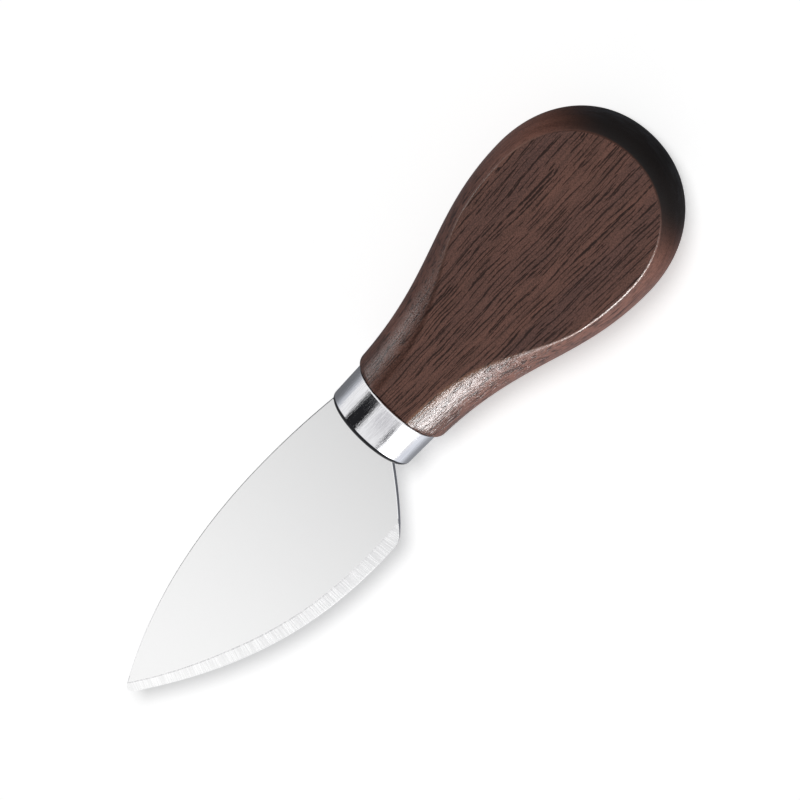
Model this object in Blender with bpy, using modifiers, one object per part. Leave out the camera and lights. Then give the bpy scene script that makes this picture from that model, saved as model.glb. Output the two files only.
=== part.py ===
"""A small hard-cheese knife: a leaf-shaped steel blade, a drawn ferrule and a walnut paddle handle.

The knife's axis runs along X, with the tip of the blade at -X and the butt of the handle at +X.
The cutting edge faces -Y. The knife lies on its side, with the ferrule's rim down to Z = 0
and the lower flat of the handle just above it.
Sizes are in metres and angles in degrees.
"""

import math

import bmesh
import bpy
from mathutils import Vector
from mathutils.geometry import interpolate_bezier

# Fits
fit_gap = 0.0003  # round the tang and the spigot, where adhesive goes
seam_gap = 0.00015  # between faces that butt together along the axis

# Ferrule, a drawn cup
ferrule_length = 0.0072
ferrule_rear_diameter = 0.0168
ferrule_front_diameter = 0.0165
ferrule_wall = 0.0008
ferrule_corner = 0.0009  # radius of the front corner
ferrule_lip = 0.0003  # radius of the rear lip

# Handle, one piece of wood
handle_length = 0.0608
handle_width = 0.0341
widest_at = 0.0422  # from the ferrule to the widest place
flat_drop = 0.0009  # the flats lie this far below the ferrule's rear rim
neck_proud = 0.0008  # the sides stand this far outside the ferrule
shoulder_round = 0.0013  # how far back the rounded front end reaches
neck_flare = 2.8  # angle at which the sides leave the shoulder
flat_margin = 0.00245  # from the outline in to the flat, round the paddle
neck_margin = 0.0058  # the same at the neck, where the side is almost a half round
margin_starts = 0.0065  # where the margin begins to narrow
margin_ends = 0.0315  # where it is as narrow as round the paddle
flat_crease = 0.0005  # radius of the crease at the flat's rim, round the paddle
neck_crease = 0.003  # the same at the neck

# Blade, one stamped and ground piece with its tang
blade_length = 0.0603  # from the shoulder to the tip
blade_thickness = 0.0018
spine_inset = 0.0004  # the spine starts this far inside the ferrule's front rim
edge_inset = 0.0031  # the heel flank starts this far inside it
spine_rise = 6.5  # angle at which the spine leaves the shoulder
spine_fall = 27.5  # angle at which it reaches the tip
belly_rise = 33.5  # angle at which the cutting edge reaches the tip
tip_drop = 0.0010  # the tip lies this far on the edge's side of the axis
tip_radius = 0.0008
heel_setback = 0.0099  # from the shoulder to the heel
heel_depth = 0.0161  # from the axis to the heel
heel_radius = 0.0035
heel_fall = 2.0  # angle at which the cutting edge leaves the heel
flank_at_root = 53.0  # angle of the heel flank at the shoulder
flank_at_heel = 43.0  # and at the heel
grind_width = 0.0023  # of the ground band, over most of the cutting edge
tip_grind_width = 0.0018  # of the same band at the tip
grind_narrowing = 0.020  # the band narrows over this last stretch before the tip
edge_land = 0.0002  # thickness left along the cutting edge
tang_length = 0.0570  # from the shoulder, most of the way through the handle
tang_width = 0.0090

# Fullness of each curve: its handle's length as a share of the straight distance
spine_fullness = (0.38, 0.31)
belly_fullness = (0.39, 0.34)
flank_fullness = (0.33, 0.33)
neck_fullness = (0.44, 0.38)
butt_fullness = (0.58, 0.59)

# Fineness of the facets
curve_steps = 28
butt_steps = 18
fillet_steps = 6
shoulder_steps = 5
crease_steps = 3
side_steps = 8
turned_steps = 80
weld_distance = 1e-7
mirror_merge = 1e-5
smooth_angle = math.radians(35)

# Derived sizes
ferrule_rear_radius = ferrule_rear_diameter / 2
ferrule_front_radius = ferrule_front_diameter / 2
handle_half_thickness = ferrule_rear_radius - flat_drop
spigot_rear_radius = ferrule_rear_radius - ferrule_wall - fit_gap
spigot_front_radius = ferrule_front_radius - ferrule_wall - fit_gap
spigot_length = seam_gap + ferrule_length - ferrule_wall - fit_gap
ferrule_front_x = -seam_gap - ferrule_length
shoulder_x = ferrule_front_x - seam_gap
axis_x = (blade_length - shoulder_x - handle_length) / 2


def clear_scene():
    for old in list(bpy.data.objects):
        bpy.data.objects.remove(old, do_unlink=True)


def new_collection(name):
    collection = bpy.data.collections.new(name)
    bpy.context.scene.collection.children.link(collection)
    return collection


def material(name, color, metallic, roughness):
    made = bpy.data.materials.new(name)
    made.use_nodes = True
    shader = made.node_tree.nodes["Principled BSDF"]
    shader.inputs["Base Color"].default_value = (*color, 1.0)
    shader.inputs["Metallic"].default_value = metallic
    shader.inputs["Roughness"].default_value = roughness
    return made


def add_object(name, data, collection):
    made = bpy.data.objects.new(name, data)
    collection.objects.link(made)
    return made


def mesh_from(name, shape):
    """Turns a bmesh into a mesh whose round places are shaded smooth."""
    mesh = bpy.data.meshes.new(name)
    shape.to_mesh(mesh)
    shape.free()
    mesh.shade_smooth()
    mesh.set_sharp_from_angle(angle=smooth_angle)
    return mesh


def as_cutter(cutter):
    cutter.hide_render = True
    cutter.display_type = "WIRE"
    return cutter


def cut_with(target, cutter):
    cut = target.modifiers.new(cutter.name, "BOOLEAN")
    cut.operation = "DIFFERENCE"
    cut.solver = "EXACT"
    cut.object = cutter


def toward(degrees):
    """Unit vector in the XY plane, counted anticlockwise from +X."""
    return Vector((math.cos(math.radians(degrees)), math.sin(math.radians(degrees)), 0.0))


def smooth_share(value, low, high):
    """0 below low, 1 above high, and an S-shaped rise between them."""
    share = min(max((value - low) / (high - low), 0.0), 1.0)
    return share * share * (3 - 2 * share)


def curve_between(start, start_direction, end, end_direction, fullness, steps=curve_steps):
    """Points of a Bezier curve. Each direction points from its end into the curve."""
    chord = (end - start).length
    start_handle = start + start_direction * chord * fullness[0]
    end_handle = end + end_direction * chord * fullness[1]
    return interpolate_bezier(start, start_handle, end_handle, end, steps + 1)


def fillet(corner, first, second, radius):
    """Arc that rounds a corner, from its first side to its second. Both are unit vectors."""
    half_angle = first.angle(second) / 2
    centre = corner + (first + second).normalized() * radius / math.sin(half_angle)
    tangent = radius / math.tan(half_angle)
    start = (corner + first * tangent - centre).normalized()
    end = (corner + second * tangent - centre).normalized()
    shares = [step / fillet_steps for step in range(fillet_steps + 1)]
    return [centre + start.slerp(end, share) * radius for share in shares]


def poly_curve(name, points, collection, dimensions):
    """Curve object with one straight-sided spline through the points."""
    curve = bpy.data.curves.new(name, "CURVE")
    curve.dimensions = dimensions
    spline = curve.splines.new("POLY")
    spline.points.add(len(points) - 1)
    for place, point in zip(spline.points, points):
        place.co = (*point, 1.0)
    return add_object(name, curve, collection)


def mesh_object_from(curve_object, collection):
    """Replaces a curve object with a welded mesh object of the same name and place."""
    name = curve_object.name
    graph = bpy.context.evaluated_depsgraph_get()
    mesh = bpy.data.meshes.new_from_object(curve_object.evaluated_get(graph))
    place = curve_object.matrix_world.copy()
    bpy.data.objects.remove(curve_object, do_unlink=True)
    shape = bmesh.new()
    shape.from_mesh(mesh)
    bmesh.ops.remove_doubles(shape, verts=shape.verts, dist=weld_distance)
    bmesh.ops.recalc_face_normals(shape, faces=shape.faces)
    made = add_object(name, mesh_from(name, shape), collection)
    made.matrix_world = place
    return made


def belly_line(heel, tip, steps=curve_steps):
    """The cutting edge, from where the heel's rounding ends to where the tip's begins."""
    return curve_between(
        heel[-1], toward(180 + heel_fall), tip[-1], toward(-belly_rise), belly_fullness, steps
    )


def heel_rounding():
    corner = Vector((shoulder_x - heel_setback, -heel_depth, 0.0))
    return fillet(corner, toward(flank_at_heel), toward(180 + heel_fall), heel_radius)


def tip_rounding():
    """The tip's arc. Its corner is placed so that the arc itself ends at the blade's length."""
    half_angle = math.radians(spine_fall + belly_rise) / 2
    lean = math.radians(belly_rise - spine_fall) / 2
    overhang = tip_radius * (math.cos(lean) / math.sin(half_angle) - 1)
    corner = Vector((shoulder_x - blade_length - overhang, -tip_drop, 0.0))
    return fillet(corner, toward(spine_fall), toward(-belly_rise), tip_radius)


def blade_outline():
    """Anticlockwise outline of blade and tang, from the shoulder's spine side."""
    spine_root = Vector((shoulder_x, ferrule_front_radius - spine_inset, 0.0))
    edge_root = Vector((shoulder_x, edge_inset - ferrule_front_radius, 0.0))
    tip = tip_rounding()
    heel = heel_rounding()
    spine = curve_between(
        spine_root, toward(180 - spine_rise), tip[0], toward(spine_fall), spine_fullness
    )
    belly = belly_line(heel, tip)
    flank = curve_between(
        heel[0], toward(flank_at_heel), edge_root, toward(180 + flank_at_root), flank_fullness
    )
    tang_end = shoulder_x + tang_length
    tang = [
        Vector((shoulder_x, -tang_width / 2, 0.0)),
        Vector((tang_end, -tang_width / 2, 0.0)),
        Vector((tang_end, tang_width / 2, 0.0)),
        Vector((shoulder_x, tang_width / 2, 0.0)),
    ]
    belly.reverse()
    heel.reverse()
    return spine + tip[1:] + belly[1:] + heel[1:] + flank[1:] + tang


def grind_cutter(name, side, collection):
    """The path of the grinding wheel over one face: a wedge swept along the cutting edge.

    side is 1 for the upper face and -1 for the lower one. The wedge runs past both ends of
    the edge, so that it cuts through the heel flank and the tip. Near the tip it is tilted to
    a steeper slope, which makes the ground band narrower. Its sections lie halfway between
    the outline's corners, so that no face of it runs exactly through one.
    """
    half_thickness = blade_thickness / 2
    rise = half_thickness - edge_land / 2
    slope = rise / grind_width
    margin = edge_land / 2 / slope
    inner = grind_width + margin
    outer_height = edge_land / 2 - margin * slope
    inner_height = half_thickness + margin * slope
    wedge = poly_curve(
        name + "_section",
        [
            (-margin, side * outer_height, 0.0),
            (inner, side * inner_height, 0.0),
            (-margin, side * inner_height, 0.0),
        ],
        collection,
        "2D",
    )
    wedge.data.splines[0].use_cyclic_u = True
    heel = heel_rounding()
    tip = tip_rounding()
    halfway = belly_line(heel, tip, 2 * curve_steps)[1::2]
    before = heel[-1] - toward(180 + heel_fall) * (heel_setback / 2 + heel_radius)
    after = tip[-1] - toward(-belly_rise) * (grind_width * 2 + tip_radius)
    path = poly_curve(name, [before] + halfway + [after], collection, "3D")
    path.data.twist_mode = "Z_UP"
    steepening = math.atan(rise / tip_grind_width) - math.atan(slope)
    for place in path.data.splines[0].points:
        from_tip = (place.co.xyz - tip[-1]).length
        place.tilt = -side * steepening * (1 - smooth_share(from_tip, 0.0, grind_narrowing))
    path.data.bevel_mode = "OBJECT"
    path.data.bevel_object = wedge
    path.data.use_fill_caps = True
    cutter = mesh_object_from(path, collection)
    bpy.data.objects.remove(wedge, do_unlink=True)
    return as_cutter(cutter)


def make_blade(parts, cutters):
    outline = poly_curve("blade", blade_outline(), parts, "2D")
    outline.data.splines[0].use_cyclic_u = True
    outline.data.fill_mode = "BOTH"
    outline.data.extrude = blade_thickness / 2
    blade = mesh_object_from(outline, parts)
    blade.data.materials.append(material("satin_steel", (0.80, 0.80, 0.81), 1.0, 0.35))
    cut_with(blade, grind_cutter("upper_grind", 1, cutters))
    cut_with(blade, grind_cutter("lower_grind", -1, cutters))
    return blade


def make_tang_slot(cutters):
    """The rectangular way for the tang, through the ferrule's front and into the handle."""
    starts = ferrule_front_x - ferrule_length / 2
    ends = shoulder_x + tang_length + fit_gap
    shape = bmesh.new()
    bmesh.ops.create_cube(shape, size=1.0)
    size = (ends - starts, tang_width + 2 * fit_gap, blade_thickness + 2 * fit_gap)
    bmesh.ops.scale(shape, vec=size, verts=shape.verts)
    slot = add_object("tang_slot", mesh_from("tang_slot", shape), cutters)
    slot.location.x = (starts + ends) / 2
    return as_cutter(slot)


def ferrule_profile():
    """Half section of the cup, down its outer side and up its inner one.

    X is the radius. Z runs from the open rear end, at 0, to the closed front.
    """
    taper = (ferrule_rear_radius - ferrule_front_radius) / ferrule_length
    wall_angle = math.atan(taper)
    corner_z = ferrule_length - ferrule_corner
    corner_x = ferrule_rear_radius - taper * corner_z - ferrule_corner / math.cos(wall_angle)
    inner_rear = ferrule_rear_radius - ferrule_wall
    inner_front = ferrule_front_radius - ferrule_wall
    profile = [(0.0, ferrule_length)]
    for step in range(fillet_steps + 1):
        angle = math.pi / 2 + (wall_angle - math.pi / 2) * step / fillet_steps
        reach = (ferrule_corner * math.cos(angle), ferrule_corner * math.sin(angle))
        profile.append((corner_x + reach[0], corner_z + reach[1]))
    for step in range(crease_steps + 1):
        angle = -math.pi / 2 * step / crease_steps
        x = ferrule_rear_radius - ferrule_lip * (1 - math.cos(angle))
        profile.append((x, ferrule_lip * (1 + math.sin(angle))))
    profile.append((inner_rear, 0.0))
    profile.append((inner_front, ferrule_length - ferrule_wall))
    profile.append((0.0, ferrule_length - ferrule_wall))
    return profile


def make_ferrule(parts, tang_slot):
    shape = bmesh.new()
    points = [shape.verts.new((x, 0.0, z)) for x, z in ferrule_profile()]
    for first, second in zip(points, points[1:]):
        shape.edges.new((first, second))
    ferrule = add_object("ferrule", mesh_from("ferrule", shape), parts)
    turn = ferrule.modifiers.new("turned", "SCREW")
    turn.steps = turned_steps
    turn.render_steps = turned_steps
    turn.use_merge_vertices = True
    turn.merge_threshold = mirror_merge
    turn.use_smooth_shade = True
    ferrule.rotation_euler.y = -math.pi / 2
    ferrule.location.x = -seam_gap
    ferrule.data.materials.append(material("polished_steel", (0.78, 0.78, 0.80), 1.0, 0.18))
    cut_with(ferrule, tang_slot)
    return ferrule


def side_section(widest, outward, half_height, margin, crease):
    """One section of the handle's half, from the middle of the upper flat to the lower one.

    The side is an arc through the widest point that meets each flat a margin further in,
    and the crease between them is rounded. A margin equal to half_height gives a half round.
    """
    radius = (margin**2 + half_height**2) / (2 * margin)
    rise = half_height - crease
    run = math.sqrt(max((radius - crease) ** 2 - rise**2, 0.0))
    meeting = math.atan2(rise, run)
    upper = []
    for step in range(crease_steps):
        angle = math.pi / 2 + (meeting - math.pi / 2) * step / crease_steps
        upper.append((run - radius + crease * math.cos(angle), rise + crease * math.sin(angle)))
    for step in range(side_steps):
        angle = meeting * (1 - step / side_steps)
        upper.append((radius * math.cos(angle) - radius, radius * math.sin(angle)))
    lower = [(inset, -height) for inset, height in reversed(upper)]
    ring = [widest + outward * inset + Vector((0, 0, height)) for inset, height in upper]
    ring.append(widest.copy())
    ring += [widest + outward * inset + Vector((0, 0, height)) for inset, height in lower]
    middle_top = Vector((ring[0].x, 0.0, ring[0].z))
    middle_bottom = Vector((ring[-1].x, 0.0, ring[-1].z))
    return [middle_top] + ring + [middle_bottom]


def round_section(x, radius):
    return side_section(Vector((x, radius, 0.0)), Vector((0, 1, 0)), radius, radius, 0.0)


def shoulder_sections(neck_half_width):
    """From the round of the ferrule, cut by the flats, out to the neck, as a quarter of an ellipse."""
    flat_half_width = math.sqrt(ferrule_rear_radius**2 - handle_half_thickness**2)
    joint_margin = ferrule_rear_radius - flat_half_width
    sections = []
    for step in range(shoulder_steps):
        angle = math.pi / 2 * step / shoulder_steps
        growth = math.sin(angle)
        width = ferrule_rear_radius + (neck_half_width - ferrule_rear_radius) * growth
        margin = joint_margin + (neck_margin - joint_margin) * growth
        widest = Vector((shoulder_round * (1 - math.cos(angle)), width, 0.0))
        crease = neck_crease * growth
        outward = Vector((0, 1, 0))
        sections.append(side_section(widest, outward, handle_half_thickness, margin, crease))
    return sections


def paddle_sections(neck_half_width):
    """From the neck along the outline to the butt."""
    neck = Vector((shoulder_round, neck_half_width, 0.0))
    widest = Vector((widest_at, handle_width / 2, 0.0))
    butt = Vector((handle_length, 0.0, 0.0))
    side = curve_between(neck, toward(neck_flare), widest, toward(180), neck_fullness)
    length = butt.x - widest.x
    forward = widest + toward(0) * length * butt_fullness[0]
    outward = butt + toward(90) * widest.y * butt_fullness[1]
    end = interpolate_bezier(widest, forward, outward, butt, butt_steps + 1)
    outline = side + end[1:]
    sections = []
    for index, point in enumerate(outline):
        before = outline[max(index - 1, 0)]
        after = outline[min(index + 1, len(outline) - 1)]
        along = (after - before).normalized()
        if index == len(outline) - 1:
            along = toward(-90)
        normal = Vector((-along.y, along.x, 0.0))
        share = smooth_share(point.x, margin_starts, margin_ends)
        margin = neck_margin + (flat_margin - neck_margin) * share
        crease = neck_crease + (flat_crease - neck_crease) * share
        sections.append(side_section(point, normal, handle_half_thickness, margin, crease))
    return sections


def make_handle(parts, tang_slot):
    """Half of the handle is lofted through its sections, from spigot to butt, and mirrored."""
    neck_half_width = ferrule_rear_radius + neck_proud
    sections = [
        round_section(-spigot_length, spigot_front_radius),
        round_section(0.0, spigot_rear_radius),
    ]
    sections += shoulder_sections(neck_half_width) + paddle_sections(neck_half_width)
    shape = bmesh.new()
    rings = [[shape.verts.new(point) for point in section] for section in sections]
    for ring, next_ring in zip(rings, rings[1:]):
        for index in range(len(ring) - 1):
            corners = (ring[index], ring[index + 1], next_ring[index + 1], next_ring[index])
            shape.faces.new(corners)
    shape.faces.new(reversed(rings[0]))
    bmesh.ops.remove_doubles(shape, verts=shape.verts, dist=weld_distance)
    bmesh.ops.dissolve_degenerate(shape, edges=shape.edges, dist=weld_distance)
    handle = add_object("handle", mesh_from("handle", shape), parts)
    mirror = handle.modifiers.new("other_half", "MIRROR")
    mirror.use_axis = (False, True, False)
    mirror.merge_threshold = mirror_merge
    handle.data.materials.append(material("walnut", (0.10, 0.052, 0.038), 0.0, 0.42))
    cut_with(handle, tang_slot)
    return handle


def main():
    clear_scene()
    parts = new_collection("cheese_knife")
    cutters = new_collection("cutters")
    cutters.hide_render = True
    tang_slot = make_tang_slot(cutters)
    blade = make_blade(parts, cutters)
    ferrule = make_ferrule(parts, tang_slot)
    handle = make_handle(parts, tang_slot)
    knife_axis = add_object("knife_axis", None, parts)
    knife_axis.location = (axis_x, 0.0, ferrule_rear_radius)
    for piece in [blade, ferrule, handle] + list(cutters.objects):
        piece.parent = knife_axis


main()
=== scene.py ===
# %% [markdown]
# # A small knife for hard cheese
#
# The knife has three pieces: a leaf-shaped blade of stamped steel, a ferrule drawn from thin
# sheet and a flat-faced paddle handle of walnut. Their sizes and places come from the packed
# frame. The frame's solids are made of coarse facets, so each piece is built again here with
# the same form and finer steps, and then gets its finish.

# %% Load the frame
import math

import bmesh
import bpy
from mathutils import Matrix, Vector
from mathutils.geometry import interpolate_bezier
from mathutils.kdtree import KDTree


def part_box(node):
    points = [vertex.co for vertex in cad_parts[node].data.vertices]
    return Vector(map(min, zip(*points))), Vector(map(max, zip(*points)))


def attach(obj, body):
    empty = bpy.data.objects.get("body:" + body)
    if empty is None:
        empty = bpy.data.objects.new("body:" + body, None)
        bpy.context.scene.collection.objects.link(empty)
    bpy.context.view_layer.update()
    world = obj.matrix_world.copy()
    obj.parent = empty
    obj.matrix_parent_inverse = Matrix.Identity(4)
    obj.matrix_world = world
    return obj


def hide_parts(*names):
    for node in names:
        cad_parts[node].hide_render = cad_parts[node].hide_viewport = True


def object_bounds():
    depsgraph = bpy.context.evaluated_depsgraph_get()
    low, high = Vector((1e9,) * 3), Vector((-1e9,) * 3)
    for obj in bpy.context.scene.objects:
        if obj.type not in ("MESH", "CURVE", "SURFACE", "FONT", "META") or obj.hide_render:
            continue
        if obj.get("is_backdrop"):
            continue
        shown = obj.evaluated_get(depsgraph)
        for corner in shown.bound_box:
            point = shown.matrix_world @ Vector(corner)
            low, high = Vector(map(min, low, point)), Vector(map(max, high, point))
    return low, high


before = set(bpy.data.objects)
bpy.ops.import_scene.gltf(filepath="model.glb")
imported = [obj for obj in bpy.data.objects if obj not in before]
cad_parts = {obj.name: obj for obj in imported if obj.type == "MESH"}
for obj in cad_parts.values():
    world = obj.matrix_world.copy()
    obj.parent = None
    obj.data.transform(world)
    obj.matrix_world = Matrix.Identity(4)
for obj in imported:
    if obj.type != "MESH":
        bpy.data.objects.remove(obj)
frame_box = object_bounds()
blade_low, blade_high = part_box("blade")
ferrule_low, ferrule_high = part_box("ferrule")
handle_low, handle_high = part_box("handle")
print("nodes in the frame:", len(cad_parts))
print("frame, mm:", [round(1000 * size, 2) for size in frame_box[1] - frame_box[0]])

# %% [markdown]
# ## Sizes
#
# A box around each solid already tells most lengths: the knife's axis runs through the middle
# of the ferrule, and the wood starts a hair's breadth behind it. What a box can't tell, such
# as angles, roundings and the fullness of a curve, is named here in metres and degrees.

# %% Sizes from the frame
seam_gap = 0.00015
fit_gap = 0.0003
axis_z = (ferrule_low.z + ferrule_high.z) / 2
joint_x = ferrule_high.x + seam_gap
ferrule_length = ferrule_high.x - ferrule_low.x
ferrule_rear_radius = (ferrule_high.z - ferrule_low.z) / 2
handle_length = handle_high.x - joint_x
handle_half_width = handle_high.y
handle_half_thickness = (handle_high.z - handle_low.z) / 2
blade_half_thickness = (blade_high.z - blade_low.z) / 2
shoulder_x = ferrule_low.x - seam_gap - joint_x
tip_x = blade_low.x - joint_x
tang_end = blade_high.x - joint_x
print("handle, mm:", round(1000 * handle_length, 2))
print("blade, mm:", round(1000 * (shoulder_x - tip_x), 2))

# %% Shape of the ferrule
ferrule_front_radius = 0.00825
ferrule_wall = 0.0008
ferrule_corner = 0.0009
ferrule_lip = 0.0003
spigot_length = seam_gap + ferrule_length - ferrule_wall - fit_gap

# %% Shape of the handle
widest_at = 0.0422
neck_proud = 0.0008
shoulder_round = 0.0013
neck_flare = 2.8
flat_margin = 0.00245
neck_margin = 0.0058
margin_starts = 0.0065
margin_ends = 0.0315
flat_crease = 0.0005
neck_crease = 0.003
neck_fullness = (0.44, 0.38)
butt_fullness = (0.58, 0.59)

# %% Shape of the blade
spine_inset = 0.0004
edge_inset = 0.0031
spine_rise = 6.5
spine_fall = 27.5
belly_rise = 33.5
tip_drop = 0.0010
tip_radius = 0.0008
heel_setback = 0.0099
heel_depth = 0.0161
heel_radius = 0.0035
heel_fall = 2.0
flank_at_root = 53.0
flank_at_heel = 43.0
grind_width = 0.0023
tip_grind_width = 0.0018
grind_narrowing = 0.020
edge_land = 0.0002
tang_width = 0.0090
rim_radius = 0.0001
spine_fullness = (0.38, 0.31)
belly_fullness = (0.39, 0.34)
flank_fullness = (0.33, 0.33)

# %% [markdown]
# ## Curves in a plane
#
# Every outline on this knife is a Bezier curve or an arc. Two small helpers make them: one
# takes the direction in which a curve leaves each end, as a designer would draw it, and one
# rounds a corner.

# %% Curve helpers
fillet_steps = 16


def toward(degrees):
    """Unit vector in the XY plane, counted anticlockwise from +X."""
    return Vector((math.cos(math.radians(degrees)), math.sin(math.radians(degrees)), 0.0))


def smooth_share(value, low, high):
    """0 below low, 1 above high, and an S-shaped rise between them."""
    share = min(max((value - low) / (high - low), 0.0), 1.0)
    return share * share * (3 - 2 * share)


def curve_between(start, start_direction, end, end_direction, fullness, steps):
    """Points of a Bezier curve. Each direction points from its end into the curve."""
    chord = (end - start).length
    start_handle = start + start_direction * chord * fullness[0]
    end_handle = end + end_direction * chord * fullness[1]
    return interpolate_bezier(start, start_handle, end_handle, end, steps + 1)


def fillet(corner, first, second, radius):
    """Arc that rounds a corner, from its first side to its second. Both are unit vectors."""
    half_angle = first.angle(second) / 2
    centre = corner + (first + second).normalized() * radius / math.sin(half_angle)
    tangent = radius / math.tan(half_angle)
    start = (corner + first * tangent - centre).normalized()
    end = (corner + second * tangent - centre).normalized()
    shares = [step / fillet_steps for step in range(fillet_steps + 1)]
    return [centre + start.slerp(end, share) * radius for share in shares]


# %% Object helpers
knife = bpy.data.collections.new("knife")
bpy.context.scene.collection.children.link(knife)
weld_distance = 1e-7
on_axis = Vector((joint_x, 0.0, axis_z))


def add_object(name, data):
    made = bpy.data.objects.new(name, data)
    knife.objects.link(made)
    return made


def mesh_from(name, shape):
    mesh = bpy.data.meshes.new(name)
    shape.to_mesh(mesh)
    shape.free()
    return mesh


def poly_curve(name, points, dimensions, cyclic=False):
    """Curve object with one straight-sided spline through the points."""
    curve = bpy.data.curves.new(name, "CURVE")
    curve.dimensions = dimensions
    spline = curve.splines.new("POLY")
    spline.points.add(len(points) - 1)
    for place, point in zip(spline.points, points):
        place.co = (*point, 1.0)
    spline.use_cyclic_u = cyclic
    return add_object(name, curve)


def mesh_object_from(source):
    """Replaces an object with a welded mesh object that has its name and final shape."""
    name = source.name
    graph = bpy.context.evaluated_depsgraph_get()
    mesh = bpy.data.meshes.new_from_object(source.evaluated_get(graph))
    bpy.data.objects.remove(source, do_unlink=True)
    shape = bmesh.new()
    shape.from_mesh(mesh)
    bmesh.ops.remove_doubles(shape, verts=shape.verts, dist=weld_distance)
    bmesh.ops.recalc_face_normals(shape, faces=shape.faces)
    return add_object(name, mesh_from(name, shape))


def cut_away(piece, cutters):
    """Cuts the piece with each cutter, for good, and removes the cutters."""
    for cutter in cutters:
        cut = piece.modifiers.new(cutter.name, "BOOLEAN")
        cut.operation = "DIFFERENCE"
        cut.solver = "EXACT"
        cut.object = cutter
    done = mesh_object_from(piece)
    for cutter in cutters:
        bpy.data.objects.remove(cutter, do_unlink=True)
    return done


def finish_shape(piece, smooth_up_to):
    """Shades round places smooth, keeps flat ones flat, and puts the piece on the axis."""
    piece.data.shade_smooth()
    piece.data.set_sharp_from_angle(angle=math.radians(smooth_up_to))
    weighted = piece.modifiers.new("flat_faces_stay_flat", "WEIGHTED_NORMAL")
    weighted.keep_sharp = True
    piece.location = on_axis
    shape = bmesh.new()
    shape.from_mesh(piece.data)
    open_edges = sum(not edge.is_manifold for edge in shape.edges)
    shape.free()
    print(piece.name, len(piece.data.polygons), "faces,", open_edges, "open edges")


def tang_slot():
    """The rectangular way for the tang, through the ferrule's front and into the handle."""
    starts = shoulder_x + seam_gap - ferrule_length
    ends = tang_end + fit_gap
    shape = bmesh.new()
    bmesh.ops.create_cube(shape, size=1.0)
    size = (ends - starts, tang_width + 2 * fit_gap, 2 * (blade_half_thickness + fit_gap))
    bmesh.ops.scale(shape, vec=size, verts=shape.verts)
    bmesh.ops.translate(shape, vec=((starts + ends) / 2, 0.0, 0.0), verts=shape.verts)
    return add_object("tang_slot", mesh_from("tang_slot", shape))


# %% [markdown]
# ## The handle
#
# On the real knife this is one piece of walnut, sawn to the paddle's outline and sanded round
# at its sides until two flat faces are left. A box with a Bevel modifier would give sides of
# one width all round, but here the side is nearly a half round at the neck and only a narrow
# margin round the paddle. So the handle is lofted: each section is an arc that meets the flats
# a margin further in, and margin and crease change from section to section.

# %% Sections of the handle
crease_steps = 6
side_steps = 22


def side_section(widest, outward, half_height, margin, crease):
    """One section of the handle's half, from the middle of the upper flat to the lower one."""
    radius = (margin**2 + half_height**2) / (2 * margin)
    rise = half_height - crease
    run = math.sqrt(max((radius - crease) ** 2 - rise**2, 0.0))
    meeting = math.atan2(rise, run)
    upper = []
    for step in range(crease_steps):
        angle = math.pi / 2 + (meeting - math.pi / 2) * step / crease_steps
        upper.append((run - radius + crease * math.cos(angle), rise + crease * math.sin(angle)))
    for step in range(side_steps):
        angle = meeting * (1 - step / side_steps)
        upper.append((radius * math.cos(angle) - radius, radius * math.sin(angle)))
    lower = [(inset, -height) for inset, height in reversed(upper)]
    ring = [widest + outward * inset + Vector((0, 0, height)) for inset, height in upper]
    ring.append(widest.copy())
    ring += [widest + outward * inset + Vector((0, 0, height)) for inset, height in lower]
    middle_top = Vector((ring[0].x, 0.0, ring[0].z))
    middle_bottom = Vector((ring[-1].x, 0.0, ring[-1].z))
    return [middle_top] + ring + [middle_bottom]


def round_section(x, radius):
    return side_section(Vector((x, radius, 0.0)), Vector((0, 1, 0)), radius, radius, 0.0)


# %% Sections of the shoulder and of the paddle
shoulder_steps = 14
neck_steps = 96
butt_steps = 60


def shoulder_sections(neck_half_width):
    """From the round of the ferrule, cut by the flats, out to the neck, as a quarter ellipse."""
    flat_half_width = math.sqrt(ferrule_rear_radius**2 - handle_half_thickness**2)
    joint_margin = ferrule_rear_radius - flat_half_width
    sections = []
    for step in range(shoulder_steps):
        angle = math.pi / 2 * step / shoulder_steps
        growth = math.sin(angle)
        width = ferrule_rear_radius + (neck_half_width - ferrule_rear_radius) * growth
        margin = joint_margin + (neck_margin - joint_margin) * growth
        widest = Vector((shoulder_round * (1 - math.cos(angle)), width, 0.0))
        crease = neck_crease * growth
        outward = Vector((0, 1, 0))
        sections.append(side_section(widest, outward, handle_half_thickness, margin, crease))
    return sections


def paddle_sections(neck_half_width):
    """From the neck along the outline to the butt."""
    neck = Vector((shoulder_round, neck_half_width, 0.0))
    widest = Vector((widest_at, handle_half_width, 0.0))
    butt = Vector((handle_length, 0.0, 0.0))
    side = curve_between(neck, toward(neck_flare), widest, toward(180), neck_fullness, neck_steps)
    forward = widest + toward(0) * (butt.x - widest.x) * butt_fullness[0]
    outward = butt + toward(90) * widest.y * butt_fullness[1]
    end = interpolate_bezier(widest, forward, outward, butt, butt_steps + 1)
    outline = side + end[1:]
    sections = []
    for index, point in enumerate(outline):
        before = outline[max(index - 1, 0)]
        after = outline[min(index + 1, len(outline) - 1)]
        along = (after - before).normalized()
        if index == len(outline) - 1:
            along = toward(-90)
        normal = Vector((-along.y, along.x, 0.0))
        share = smooth_share(point.x, margin_starts, margin_ends)
        margin = neck_margin + (flat_margin - neck_margin) * share
        crease = neck_crease + (flat_crease - neck_crease) * share
        sections.append(side_section(point, normal, handle_half_thickness, margin, crease))
    return sections


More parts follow.
